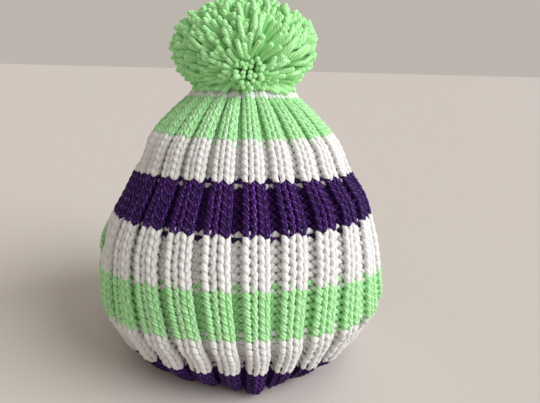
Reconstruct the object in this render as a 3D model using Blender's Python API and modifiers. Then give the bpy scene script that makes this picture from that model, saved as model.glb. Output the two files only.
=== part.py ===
"""Ribbed hand-knitted tea cosy: a front and a back panel of two-by-two rib, and a pompom on the neck.

Metres, +Z up. The origin is on the surface under the middle of the cosy, and the front panel faces -Y. The
teapot's handle leaves by the slit at -X and its spout by the slit at +X. Azimuth is measured from the front
towards +X.
"""

import math

import bmesh
import bpy
from mathutils import Matrix, Vector, noise

COLLECTION = "tea_cosy"

# The cloth. Every panel has the same stitches: knit two, purl two, and knit two at both edges.
CLOTH_THICKNESS = 0.003
RIBS = 12
KNIT_WIDTH = 0.70  # a rib's share of one repeat round the cosy; the purl furrow folds into what is left
WALL_WIDTH = 0.10  # the share of a repeat that each side of a furrow takes
RIB_RISE = 0.0016  # how far ribs stand out, and furrows sink, from the middle of the cloth
FLAT_PITCH = 0.0065  # a repeat squeezed to this width lies flat
FULL_PITCH = 0.0130  # and at this width its ribs stand out fully
RIB_FLOW = (  # height, extra width of the ribs at the middle over the average, turn of the middle furrow
    (0.000, -0.32, math.radians(0.8)),
    (0.030, -0.32, math.radians(0.8)),
    (0.045, -0.25, math.radians(-0.4)),
    (0.060, -0.14, math.radians(-1.2)),
    (0.080, -0.03, math.radians(-2.0)),
    (0.095, 0.00, math.radians(-2.3)),
    (0.115, -0.05, math.radians(-2.3)),
    (0.165, -0.06, math.radians(-2.3)),
)
SEAM_GAP = 0.0008  # between the middles of the panels' edges, where they are sewn together
SETTLE = 0.0007  # what is this near to the surface lies flat on it

# The crest of the ribs, from the gathered top down to the surface, and then on inwards below.
PROFILE = (  # name, height, radius
    ("gathered ring", 0.1612, 0.0095),
    ("top of the neck", 0.1602, 0.0200),
    ("neck", 0.1565, 0.0285),
    ("under the neck", 0.1440, 0.0432),
    ("crown", 0.1305, 0.0552),
    ("shoulder", 0.1160, 0.0619),
    ("upper side", 0.1015, 0.0709),
    ("side", 0.0850, 0.0790),
    ("upper belly", 0.0680, 0.0845),
    ("belly", 0.0410, 0.0877),
    ("lower belly", 0.0280, 0.0833),
    ("under the belly", 0.0140, 0.0762),
    ("turn of the hem", 0.0045, 0.0668),
    ("hem on the surface", 0.0000, 0.0585),
    ("hem turned in", 0.0000, 0.0480),
    ("hem turned far in", 0.0000, 0.0370),
)
PROFILE_STEPS = 12  # points between two rows of the table, for measuring along the curve
HEM_AT_FRONT = 0.0070  # how far the hem runs inwards on the surface at the middle of a panel
HEM_AT_SIDES = 0.0190  # and below the slits, where the cloth is longer

# Where the panels part.
SLITS = (  # name, azimuth of its middle, lowest height, highest height, widest half gap
    ("handle", math.radians(-90), 0.036, 0.119, 0.0085),
    ("spout", math.radians(90), 0.030, 0.100, 0.0140),
)
SLIT_ROUNDNESS = 0.75

# Soft lumps and hollows of the cloth over the pot.
BULGES = (  # name, azimuth, height, spread in azimuth, spread in height, rise
    ("shoulder over the spout", math.radians(82), 0.121, math.radians(32), 0.010, 0.0013),
    ("hollow over the handle", math.radians(-82), 0.121, math.radians(32), 0.010, -0.0013),
    ("side over the spout", math.radians(82), 0.098, math.radians(32), 0.012, 0.0019),
    ("side over the handle", math.radians(-82), 0.098, math.radians(32), 0.012, -0.0019),
    ("belly below the spout", math.radians(82), 0.039, math.radians(32), 0.012, 0.0013),
    ("belly below the handle", math.radians(-82), 0.039, math.radians(32), 0.012, -0.0006),
    ("foot below the spout", math.radians(90), 0.002, math.radians(26), 0.011, 0.0050),
    ("foot below the handle", math.radians(-90), 0.002, math.radians(26), 0.011, 0.0062),
    ("rib pulled out at the hem", math.radians(6), 0.000, math.radians(9), 0.010, 0.0066),
    ("edge pushed out by the handle", math.radians(-101), 0.063, math.radians(10), 0.017, 0.0042),
    ("slack cloth behind", math.radians(160), 0.060, math.radians(30), 0.030, 0.0018),
    ("hem pulled out behind", math.radians(-150), 0.000, math.radians(14), 0.010, 0.0035),
)

GRID_ROWS = 23
ROW_CROWDING = 1.35  # rows lie closer together towards the hem

# The pompom, flatter than it is wide, pressed onto the neck.
POMPOM_CENTRE = Vector((-0.0002, 0.0, 0.1805))
POMPOM_RADII = Vector((0.0402, 0.0392, 0.0258))
POMPOM_UNDERSIDE = 0.0290  # its radius downwards, where it spreads over the neck
POMPOM_TILT = Matrix.Rotation(math.radians(-3), 3, "Y")  # a little higher towards the spout
POMPOM_SEAT_GAP = 0.0006  # over the crest of the ribs; facets bring it down to about 0.3 mm
POMPOM_TURNS = 26
POMPOM_RINGS = 16
POMPOM_LUMP = 0.0016
POMPOM_LUMP_SCALE = 55.0

COLOURS = {  # linear red, green and blue
    "white wool": (0.80, 0.79, 0.76),
    "green wool": (0.26, 0.78, 0.25),
}
WOOL_ROUGHNESS = 0.9


def clear_scene():
    """Start from an empty scene."""
    for thing in list(bpy.data.objects):
        bpy.data.objects.remove(thing)


def wool(name):
    """A plain matt material in one of the yarn colours."""
    material = bpy.data.materials.new(name)
    material.use_nodes = True
    shader = material.node_tree.nodes["Principled BSDF"]
    shader.inputs["Base Color"].default_value = (*COLOURS[name], 1.0)
    shader.inputs["Roughness"].default_value = WOOL_ROUGHNESS
    shader.inputs["Metallic"].default_value = 0.0
    return material


def smooth_step(x, low, high):
    """0 below low, 1 above high, and a smooth rise between them."""
    t = min(1.0, max(0.0, (x - low) / (high - low)))
    return t * t * (3 - 2 * t)


class Profile:
    """The smooth curve through the PROFILE table, measured from the gathered ring downwards."""

    def __init__(self):
        stations = [Vector((radius, height)) for _, height, radius in PROFILE]
        self.points = []
        for i in range(len(stations) - 1):
            before = stations[max(i - 1, 0)]
            after = stations[min(i + 2, len(stations) - 1)]
            for step in range(PROFILE_STEPS):
                t = step / PROFILE_STEPS
                self.points.append(self.between(before, stations[i], stations[i + 1], after, t))
        self.points.append(stations[-1])
        self.lengths = [0.0]
        for a, b in zip(self.points, self.points[1:]):
            self.lengths.append(self.lengths[-1] + (b - a).length)
        foot = next(i for i, row in enumerate(PROFILE) if row[1] == 0.0)
        self.length_to_foot = self.lengths[foot * PROFILE_STEPS]

    @staticmethod
    def between(before, start, end, after, t):
        """A point of the Catmull-Rom curve from start to end."""
        return 0.5 * (
            2 * start
            + (end - before) * t
            + (2 * before - 5 * start + 4 * end - after) * t**2
            + (3 * start - before - 3 * end + after) * t**3
        )

    def at(self, distance):
        """(radius, height) and the outward normal in that plane, this far along the curve."""
        i = 1
        while i < len(self.lengths) - 1 and self.lengths[i] < distance:
            i += 1
        a, b = self.points[i - 1], self.points[i]
        share = (distance - self.lengths[i - 1]) / (self.lengths[i] - self.lengths[i - 1])
        along = (b - a).normalized()
        return a.lerp(b, share), Vector((-along.y, along.x))

    def height_over(self, radius):
        """How high the crest of the ribs is at this radius, on the upper side."""
        for a, b in zip(self.points, self.points[1:]):
            if b.x >= radius:
                share = max(0.0, (radius - a.x) / (b.x - a.x))
                return a.lerp(b, share).y
        return 0.0


def slit_half_gap(slit, height):
    """Half the width of a slit at a height, and half the sewn gap above and below it."""
    _, _, low, high, widest = slit
    if not low < height < high:
        return SEAM_GAP / 2
    opening = math.sin(math.pi * (height - low) / (high - low)) ** SLIT_ROUNDNESS
    return max(SEAM_GAP / 2, widest * opening)


def rib_flow(height):
    """(extra width, turn of the middle furrow) at a height, between the rows of RIB_FLOW."""
    for low, high in zip(RIB_FLOW, RIB_FLOW[1:]):
        if height <= high[0]:
            share = max(0.0, height - low[0]) / (high[0] - low[0])
            return tuple(a + (b - a) * share for a, b in zip(low[1:], high[1:]))
    return RIB_FLOW[-1][1:]


def bulge(azimuth, height):
    """How far the cloth stands out here, over all the rows of BULGES."""
    total = 0.0
    for _, middle, level, wide, tall, rise in BULGES:
        turn = math.remainder(azimuth - middle, math.tau)
        total += rise * math.exp(-((turn / wide) ** 2) - ((height - level) / tall) ** 2)
    return total


def rib_columns():
    """(place across the panel from -1 to 1, 1 on a rib or -1 in a furrow) for each column of the grid."""
    repeat = 2.0 / (RIBS - 1 + KNIT_WIDTH)
    crest = (KNIT_WIDTH - WALL_WIDTH) / 2
    furrow = (1 - KNIT_WIDTH - WALL_WIDTH) / 2
    columns = []
    for rib in range(RIBS):
        middle = (rib - (RIBS - 1) / 2) * repeat
        columns += [(middle - crest * repeat, 1.0), (middle + crest * repeat, 1.0)]
        if rib < RIBS - 1:
            next_furrow = middle + repeat / 2
            columns += [(next_furrow - furrow * repeat, -1.0), (next_furrow + furrow * repeat, -1.0)]
    columns[0] = (-1.0, 1.0)
    columns[-1] = (1.0, 1.0)
    return columns


def cloth_point(profile, facing, across, relief, down):
    """The middle of the cloth at a place across the panel, a rib or furrow, and a share of the way down.

    facing is the azimuth of the panel's middle.
    """
    side_share = abs(across) ** 3
    run_in = HEM_AT_FRONT + (HEM_AT_SIDES - HEM_AT_FRONT) * side_share
    distance = down * (profile.length_to_foot + run_in)
    place, normal = profile.at(distance)
    slit = next(s for s in SLITS if (s[1] > 0) == (across * math.cos(facing) > 0))
    half_gap = slit_half_gap(slit, place.y)
    quarter = math.pi / 2 - half_gap / max(place.x, SEAM_GAP)
    wider, turn = rib_flow(place.y)
    spread = across * (1 + wider * (1 - across**2))
    azimuth = facing + quarter * spread + turn * (1 - across**2)
    pitch = math.pi * place.x / RIBS
    rise = RIB_RISE * smooth_step(pitch, FLAT_PITCH, FULL_PITCH)
    place = place - normal * (CLOTH_THICKNESS / 2 + rise * (1 - relief))
    place.x += bulge(azimuth, place.y)
    return Vector((place.x * math.sin(azimuth), -place.x * math.cos(azimuth), place.y))


def panel(name, facing, profile, collection, material):
    """One knitted half: a grid laid over the pot, thickened to cloth, with its hem flat on the surface."""
    columns = rib_columns()
    bpy.ops.mesh.primitive_grid_add(x_subdivisions=len(columns) - 1, y_subdivisions=GRID_ROWS, size=2.0)
    sheet = bpy.context.object
    for vertex in sheet.data.vertices:
        column = round((vertex.co.x + 1) / 2 * (len(columns) - 1))
        across, relief = columns[column]
        down = 1 - ((vertex.co.y + 1) / 2) ** ROW_CROWDING
        vertex.co = cloth_point(profile, facing, across, relief, down)
    thicken = sheet.modifiers.new("cloth", "SOLIDIFY")
    thicken.thickness = CLOTH_THICKNESS
    thicken.offset = 0.0
    mesh = bpy.data.meshes.new_from_object(sheet.evaluated_get(bpy.context.evaluated_depsgraph_get()))
    bpy.data.objects.remove(sheet)
    for vertex in mesh.vertices:
        if vertex.co.z < SETTLE:
            vertex.co.z = 0.0
    face_outwards(mesh)
    mesh.materials.append(material)
    collection.objects.link(bpy.data.objects.new(name, mesh))


def face_outwards(mesh):
    """Turn every face of a closed mesh outwards."""
    shape = bmesh.new()
    shape.from_mesh(mesh)
    bmesh.ops.recalc_face_normals(shape, faces=shape.faces)
    shape.to_mesh(mesh)
    shape.free()


def pompom(profile, collection, material):
    """The trimmed ball of yarn, uneven, and flattened where it is tied down onto the neck."""
    bpy.ops.mesh.primitive_uv_sphere_add(segments=POMPOM_TURNS, ring_count=POMPOM_RINGS, radius=1.0)
    ball = bpy.context.object
    ball.name = "pompom"
    for vertex in ball.data.vertices:
        direction = vertex.co.normalized()
        lump = POMPOM_LUMP * noise.noise(direction * POMPOM_RADII.x * POMPOM_LUMP_SCALE)
        radii = POMPOM_RADII.copy()
        if direction.z < 0:
            radii.z = POMPOM_UNDERSIDE
        place = POMPOM_CENTRE + POMPOM_TILT @ (direction * radii + direction * lump)
        seat = profile.height_over(math.hypot(place.x, place.y)) + POMPOM_SEAT_GAP
        place.z = max(place.z, seat)
        vertex.co = place
    ball.data.shade_smooth()
    ball.data.materials.append(material)
    for home in ball.users_collection:
        home.objects.unlink(ball)
    collection.objects.link(ball)


def main():
    """Build the cosy into its own collection."""
    clear_scene()
    collection = bpy.data.collections.new(COLLECTION)
    bpy.context.scene.collection.children.link(collection)
    profile = Profile()
    white = wool("white wool")
    panel("front_panel", 0.0, profile, collection, white)
    panel("back_panel", math.pi, profile, collection, white)
    pompom(profile, collection, wool("green wool"))


main()
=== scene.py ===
"""Striped, ribbed, hand-knitted tea cosy with a pompom of cut yarn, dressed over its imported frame.

Metres, +Z up, the front panel faces -Y. Every stitch of both panels is a loop of plied yarn, laid over the
folded cloth of a two-by-two rib. Stitches are counted from a panel's left edge, seen from outside, and rows
from the hem up, the way the cosy is knitted.
"""

import logging
import math
from dataclasses import dataclass, field
from enum import Enum

import bpy
import numpy as np
from mathutils import Matrix, Vector


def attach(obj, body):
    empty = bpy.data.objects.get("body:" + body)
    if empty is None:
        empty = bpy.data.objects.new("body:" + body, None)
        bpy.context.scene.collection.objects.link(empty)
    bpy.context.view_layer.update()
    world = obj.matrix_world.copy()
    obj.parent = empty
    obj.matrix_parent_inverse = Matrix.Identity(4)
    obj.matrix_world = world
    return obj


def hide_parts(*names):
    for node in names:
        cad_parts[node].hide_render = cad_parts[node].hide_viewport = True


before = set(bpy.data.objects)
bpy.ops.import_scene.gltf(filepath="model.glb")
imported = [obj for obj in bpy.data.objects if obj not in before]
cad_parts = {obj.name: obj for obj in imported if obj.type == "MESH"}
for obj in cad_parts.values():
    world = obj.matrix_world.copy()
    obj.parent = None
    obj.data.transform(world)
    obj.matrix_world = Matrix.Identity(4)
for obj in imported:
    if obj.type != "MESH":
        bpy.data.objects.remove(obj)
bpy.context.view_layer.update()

Colour = tuple[float, float, float, float]
Triple = tuple[float, float, float]
Range = tuple[float, float]

BODY = "root"
YARN_MAP = "OFBake"
LEGS_PER_STITCH = 2
GOLDEN_TURN = math.pi * (3 - math.sqrt(5))
LEAST = 1e-12  # what a length is taken to be at least, where something is divided by it
LOG = logging.getLogger("tea_cosy")


class Yarn(Enum):
    """The three yarns, by their material slots."""

    WHITE = "white_yarn"
    GREEN = "green_yarn"
    PURPLE = "purple_yarn"


class Side(Enum):
    """The two panels, by the azimuth of their middles."""

    FRONT = 0.0
    BACK = math.pi


def smooth_step(x: np.ndarray, low: float, high: float) -> np.ndarray:
    """0 below low, 1 above high, and a smooth rise between them."""
    t = np.clip((x - low) / (high - low), 0.0, 1.0)
    return t * t * (3 - 2 * t)


def unit(vectors: np.ndarray) -> np.ndarray:
    """The same directions at length 1."""
    return vectors / np.maximum(np.linalg.norm(vectors, axis=-1, keepdims=True), LEAST)


def spline(a: np.ndarray, b: np.ndarray, c: np.ndarray, d: np.ndarray, t: np.ndarray) -> np.ndarray:
    """The point at share t of the way from b to c, on the smooth curve through all four."""
    return 0.5 * (2 * b + (c - a) * t + (2 * a - 5 * b + 4 * c - d) * t**2 + (3 * b - a - 3 * c + d) * t**3)


def spline_slope(a: np.ndarray, b: np.ndarray, c: np.ndarray, d: np.ndarray, t: np.ndarray) -> np.ndarray:
    """How fast that point moves with t."""
    return 0.5 * ((c - a) + 2 * (2 * a - 5 * b + 4 * c - d) * t + 3 * (3 * b - a - 3 * c + d) * t**2)


def deselect_all() -> None:
    """Leave nothing selected, so that an operator acts on the new piece alone."""
    bpy.ops.object.select_all(action="DESELECT")


def triangle_count(piece: bpy.types.Object) -> int:
    """How many triangles a piece has."""
    piece.data.calc_loop_triangles()
    return len(piece.data.loop_triangles)


class Patch:
    """A material's node tree, with short calls for the nodes that the finishes use."""

    MIX_INPUTS = (0, 6, 7)  # a colour Mix node's sockets for the share and for both colours
    MIX_OUTPUT = 2

    def __init__(self, name: str) -> None:
        """Start a new material.

        Args:
            name: the material's name.
        """
        self.material = bpy.data.materials.new(name)
        self.material.use_nodes = True
        self.tree = self.material.node_tree
        self.shader = self.tree.nodes["Principled BSDF"]

    def node(self, kind: str, **settings: object) -> bpy.types.Node:
        """Add a node.

        Args:
            kind: the node's type.
            settings: its options.

        Returns:
            The new node.
        """
        made = self.tree.nodes.new(kind)
        for name, value in settings.items():
            setattr(made, name, value)
        return made

    def feed(self, socket: bpy.types.NodeSocket, value: object) -> None:
        """Link a socket, or set it.

        Args:
            socket: the input.
            value: another node's output, or a number or colour.
        """
        if isinstance(value, bpy.types.NodeSocket):
            self.tree.links.new(value, socket)
        else:
            socket.default_value = value

    def fill(self, node: bpy.types.Node, inputs: dict[str, object]) -> None:
        """Link or set several inputs of a node, by their names."""
        for name, value in inputs.items():
            self.feed(node.inputs[name], value)

    def math(self, operation: str, *values: object) -> bpy.types.NodeSocket:
        """One sum.

        Args:
            operation: what it does.
            values: the sockets and numbers that it is done to.

        Returns:
            The result's socket.
        """
        made = self.node("ShaderNodeMath", operation=operation)
        for socket, value in zip(made.inputs, values):
            self.feed(socket, value)
        return made.outputs[0]

    def blend(self, share: object, low: object, high: object) -> bpy.types.NodeSocket:
        """A colour between two others.

        Args:
            share: 0 for the first colour and 1 for the second.
            low: the first colour.
            high: the second colour.

        Returns:
            The colour's socket.
        """
        made = self.node("ShaderNodeMix", data_type="RGBA")
        for index, value in zip(self.MIX_INPUTS, (share, low, high)):
            self.feed(made.inputs[index], value)
        return made.outputs[self.MIX_OUTPUT]

    def span(
        self, value: object, low: float, high: float, to_low: float = 0.0, to_high: float = 1.0
    ) -> bpy.types.NodeSocket:
        """A number moved from one range to another, and held inside it.

        Args:
            value: the number.
            low: where its range starts.
            high: where its range ends.
            to_low: where the new range starts.
            to_high: where the new range ends.

        Returns:
            The new number's socket.
        """
        made = self.node("ShaderNodeMapRange")
        for socket, number in zip(made.inputs, (value, low, high, to_low, to_high)):
            self.feed(socket, number)
        return made.outputs[0]

    def noise(self, scale: float, detail: float, spot: object, fourth: object = None) -> bpy.types.NodeSocket:
        """A soft noise.

        Args:
            scale: how fine it is.
            detail: how many finer layers it has.
            spot: its place.
            fourth: that place's fourth co-ordinate, if it has one.

        Returns:
            The noise's socket.
        """
        made = self.node("ShaderNodeTexNoise", noise_dimensions="3D" if fourth is None else "4D")
        self.fill(made, {"Vector": spot, "Scale": scale, "Detail": detail})
        if fourth is not None:
            self.feed(made.inputs["W"], fourth)
        return made.outputs[0]

    def bump(self, height: object, depth: float) -> None:
        """Raise the surface.

        Args:
            height: the pattern.
            depth: how high its 1 stands, in metres.
        """
        made = self.node("ShaderNodeBump")
        self.fill(made, {"Strength": 1.0, "Distance": depth, "Height": height})
        self.feed(self.shader.inputs["Normal"], made.outputs[0])

    def on_piece(self) -> bpy.types.NodeSocket:
        """The place on the piece itself, in metres."""
        return self.node("ShaderNodeTexCoord").outputs["Object"]

    def on_map(self) -> tuple[bpy.types.NodeSocket, bpy.types.NodeSocket]:
        """The place on the yarn map.

        Returns:
            The sockets of U and V.
        """
        place = self.node("ShaderNodeSeparateXYZ")
        self.feed(place.inputs[0], self.node("ShaderNodeUVMap", uv_map=YARN_MAP).outputs[0])
        return place.outputs[0], place.outputs[1]


@dataclass(frozen=True)
class YarnFinish:
    """Plied acrylic yarn in one colour: its twist, its fibres, its sheen, its small changes of tone, and
    painted highlights on its plies with painted shade between them.
    """

    yarn: Yarn
    # The colour on the plies' crowns carries a painted highlight, and the next colour is the painted shade
    # between the plies.
    crown: Colour
    painted_ply_shade: Colour
    faded: Colour
    # Pale fibres at random, which show only on the lit crowns, so that they are also a painted highlight
    # there.
    fleck_and_highlight: Colour
    sheen_tint: Colour
    sheen: float = 0.35
    sheen_roughness: float = 0.45
    glow: float = 0.20  # how much light passes through the fibres
    glow_reach: float = 0.0012
    glow_colour: Triple = (1.0, 1.0, 1.0)
    roughness: float = 0.62
    specular: float = 0.32
    plies: float = 4.0
    turns: float = 2.5  # of the plies along a tile of the yarn map
    ply_roundness: float = 0.94
    ply_edge: float = 0.25  # how much of a ply's crown lies in its painted shade
    ply_depth: float = 0.00038
    fibre_turns: float = 1.0  # along a tile, the other way
    fibre_round: float = 2.6  # how finely the streaks change round the yarn
    fibre_along: float = 1.6  # and along it
    fibre_detail: float = 3.0
    fibre_depth: float = 0.00014
    fibre_light: Range = (0.30, 0.70)  # from the darkest streaks to the lightest, in the fibres' noise
    fibre_darkest: float = 0.72
    fleck_and_highlight_span: Range = (0.50, 0.66)  # from no fleck and painted highlight to a full one, in the fibres' noise
    fuzz_scale: float = 1500.0
    shade_scale: float = 95.0
    shaded: Range = (0.42, 0.72)  # from the yarn's own colour to the most faded, in the shade's noise
    most_faded: float = 0.55
    noise_detail: float = 2.0
    use: str = ""  # added to the material's name

    def build(self) -> bpy.types.Material:
        """Make the material.

        Returns:
            The finished material, which reads the yarn map: along the yarn in U and round it in V.
        """
        patch = Patch(self.yarn.value + self.use)
        along, around = patch.on_map()
        crown, fibre = self.ply_crown(patch, along, around), self.fibres(patch, along, around)
        spot = patch.on_piece()
        fuzz = patch.noise(self.fuzz_scale, self.noise_detail, spot)
        shade = patch.noise(self.shade_scale, self.noise_detail, spot)

        height = patch.math("MULTIPLY", crown, self.ply_depth)
        height = patch.math("MULTIPLY_ADD", fibre, self.fibre_depth, height)
        height = patch.math("MULTIPLY_ADD", fuzz, self.fibre_depth, height)
        patch.bump(height, 1.0)

        streak = patch.span(fibre, *self.fibre_light, self.fibre_darkest, 1.0)
        # Painted light on the plies: lit is the painted highlight on each crown, which falls off into the
        # painted shade between the plies.
        lit = patch.math("MULTIPLY", patch.span(crown, self.ply_edge, 1.0), streak)
        # Flecks come in only where the crown is lit, so they are partly pale fibres and partly a painted
        # highlight.
        flecks_and_highlights = patch.math("MULTIPLY", lit, patch.span(fibre, *self.fleck_and_highlight_span))
        colour = patch.blend(lit, self.painted_ply_shade, self.crown)
        colour = patch.blend(flecks_and_highlights, colour, self.fleck_and_highlight)
        colour = patch.blend(patch.span(shade, *self.shaded, 0.0, self.most_faded), colour, self.faded)
        patch.fill(
            patch.shader,
            {
                "Base Color": colour,
                "Roughness": self.roughness,
                "Specular IOR Level": self.specular,
                "Sheen Weight": self.sheen,
                "Sheen Roughness": self.sheen_roughness,
                "Sheen Tint": self.sheen_tint,
                "Subsurface Weight": self.glow,
                "Subsurface Radius": self.glow_colour,
                "Subsurface Scale": self.glow_reach,
            },
        )
        return patch.material

    def ply_crown(self, patch: Patch, along: object, around: object) -> bpy.types.NodeSocket:
        """The round profile of each ply, which winds round the yarn, and which also places the painted
        highlight and the painted shade.

        Args:
            patch: the material.
            along: place along the yarn.
            around: place round it.

        Returns:
            The socket of the height: 1 on a ply's crown, and low between two plies.
        """
        twist = patch.math("MULTIPLY_ADD", along, self.turns, around)
        ply = patch.math("FRACT", patch.math("MULTIPLY", twist, self.plies))
        off_crown = patch.math("ABSOLUTE", patch.math("MULTIPLY_ADD", ply, 2.0, -1.0))
        drop = patch.math("MULTIPLY", patch.math("POWER", off_crown, 2.0), self.ply_roundness)
        return patch.math("SQRT", patch.math("SUBTRACT", 1.0, drop))

    def fibres(self, patch: Patch, along: object, around: object) -> bpy.types.NodeSocket:
        """Fine streaks nearly along the yarn, which join up round it and from stitch to stitch.

        Args:
            patch: the material.
            along: place along the yarn.
            around: place round it.

        Returns:
            The streaks' socket.
        """
        turn = patch.math("MULTIPLY", patch.math("MULTIPLY_ADD", along, -self.fibre_turns, around), math.tau)
        run = patch.math("MULTIPLY", along, math.tau)
        spot = patch.node("ShaderNodeCombineXYZ")
        patch.feed(spot.inputs[0], patch.math("MULTIPLY", patch.math("COSINE", turn), self.fibre_round))
        patch.feed(spot.inputs[1], patch.math("MULTIPLY", patch.math("SINE", turn), self.fibre_round))
        patch.feed(spot.inputs[2], patch.math("MULTIPLY", patch.math("COSINE", run), self.fibre_along))
        fourth = patch.math("MULTIPLY", patch.math("SINE", run), self.fibre_along)
        return patch.noise(1.0, self.fibre_detail, spot.outputs[0], fourth)


@dataclass(frozen=True)
class BackingShadeFinish:
    """A sheet behind the loops in painted shade: the yarn darkened, as it shows in small holes between the
    loops and from inside.
    """

    yarn: Yarn
    # Both colours are painted shade, the second darker for the hollows between the rows' arcs.
    colour: Colour
    deep: Colour
    stitches: float = 46.0
    rows: float = 45.0
    arch: float = 1.2  # how far the rows arch in each stitch
    fuzz_scale: float = 900.0
    fuzz_detail: float = 3.0
    roughness: float = 0.9
    bump_depth: float = 0.0006

    def build(self) -> bpy.types.Material:
        """Make the material.

        Returns:
            The finished material, whose bumps lie in the stitches and rows of the panel, and whose painted
            shade is darkest in the hollows of their arcs.
        """
        patch = Patch(self.yarn.value + "_inside")
        beside, above = patch.on_map()
        across = patch.math("SINE", patch.math("MULTIPLY", beside, self.stitches * math.tau))
        up = patch.math("MULTIPLY", above, self.rows * math.tau)
        arc = patch.math("SINE", patch.math("MULTIPLY_ADD", across, self.arch, up))
        share = patch.span(arc, -1.0, 1.0)
        fuzz = patch.noise(self.fuzz_scale, self.fuzz_detail, patch.on_piece())
        patch.bump(patch.math("ADD", share, fuzz), self.bump_depth)
        # Painted shade, darker still in the arcs' hollows and at random in the fuzz.
        colour = patch.blend(patch.math("MULTIPLY", share, fuzz), self.deep, self.colour)
        patch.fill(patch.shader, {"Base Color": colour, "Roughness": self.roughness})
        return patch.material


class Wardrobe:
    """Every finish of the cosy, built once."""

    YARNS = (
        YarnFinish(
            Yarn.WHITE,
            crown=(0.745, 0.74, 0.735, 1.0),
            painted_ply_shade=(0.69, 0.67, 0.65, 1.0),
            faded=(0.72, 0.71, 0.69, 1.0),
            fleck_and_highlight=(0.77, 0.77, 0.77, 1.0),
            sheen_tint=(1.0, 1.0, 1.0, 1.0),
            ply_depth=0.00030,
        ),
        YarnFinish(
            Yarn.GREEN,
            crown=(0.43, 0.80, 0.385, 1.0),
            painted_ply_shade=(0.13, 0.51, 0.125, 1.0),
            faded=(0.34, 0.71, 0.30, 1.0),
            fleck_and_highlight=(0.74, 0.94, 0.68, 1.0),
            sheen_tint=(0.80, 1.0, 0.78, 1.0),
        ),
        YarnFinish(
            Yarn.PURPLE,
            crown=(0.042, 0.0075, 0.102, 1.0),
            painted_ply_shade=(0.0016, 0.0003, 0.0055, 1.0),
            faded=(0.020, 0.003, 0.050, 1.0),
            # Here the fleck is mostly a painted highlight on the plies.
            fleck_and_highlight=(0.215, 0.066, 0.445, 1.0),
            sheen_tint=(0.62, 0.42, 1.0, 1.0),
            sheen=0.0,
            specular=0.12,
            # Most of each purple ply lies in painted shade, under a narrow painted highlight.
            ply_edge=0.60,
            glow=0.0,
        ),
    )
    # The pompom's copy of the green yarn, with lighter painted shade between the plies, for the brighter
    # light on the pompom.
    STRANDS_PAINTED_LIGHTER = YarnFinish(
        Yarn.GREEN,
        crown=(0.45, 0.83, 0.39, 1.0),
        painted_ply_shade=(0.27, 0.74, 0.23, 1.0),
        faded=(0.38, 0.79, 0.32, 1.0),
        fleck_and_highlight=(0.65, 0.89, 0.59, 1.0),
        sheen_tint=(0.80, 1.0, 0.78, 1.0),
        sheen=0.10,
        ply_depth=0.00026,
        use="_cut",
    )
    # The sheets behind the loops, each in painted shade of its yarn.
    SHADE_BACKINGS = (
        BackingShadeFinish(Yarn.WHITE, colour=(0.70, 0.66, 0.62, 1.0), deep=(0.48, 0.44, 0.40, 1.0)),
        BackingShadeFinish(Yarn.GREEN, colour=(0.20, 0.62, 0.18, 1.0), deep=(0.12, 0.40, 0.11, 1.0)),
        BackingShadeFinish(Yarn.PURPLE, colour=(0.03, 0.01, 0.07, 1.0), deep=(0.010, 0.003, 0.022, 1.0)),
    )

    def __init__(self) -> None:
        """Build the finishes."""
        self.yarns = {finish.yarn: finish.build() for finish in self.YARNS}
        self.strands = self.STRANDS_PAINTED_LIGHTER.build()
        self.shade_backings = {finish.yarn: finish.build() for finish in self.SHADE_BACKINGS}


@dataclass(frozen=True)
class Station:
    """A point on the curve over the crests of the ribs."""

    name: str
    height: float
    radius: float


@dataclass(frozen=True)
class Slit:
    """An opening between the two panels' edges."""

    low: float  # the height of its lower end
    high: float
    half_gap: float  # at its widest


@dataclass(frozen=True)
class RibFlow:
    """How the ribs run at one height."""

    height: float
    wider: float  # how much wider the middle ribs are than the average
    turn: float  # of the middle furrow round the cosy, in degrees


@dataclass(frozen=True)
class Bulge:
    """A soft lump in the cloth, or a hollow where the rise is below 0."""

    name: str
    azimuth: float  # in degrees
    height: float
    wide: float  # in degrees
    tall: float
    rise: float


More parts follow.
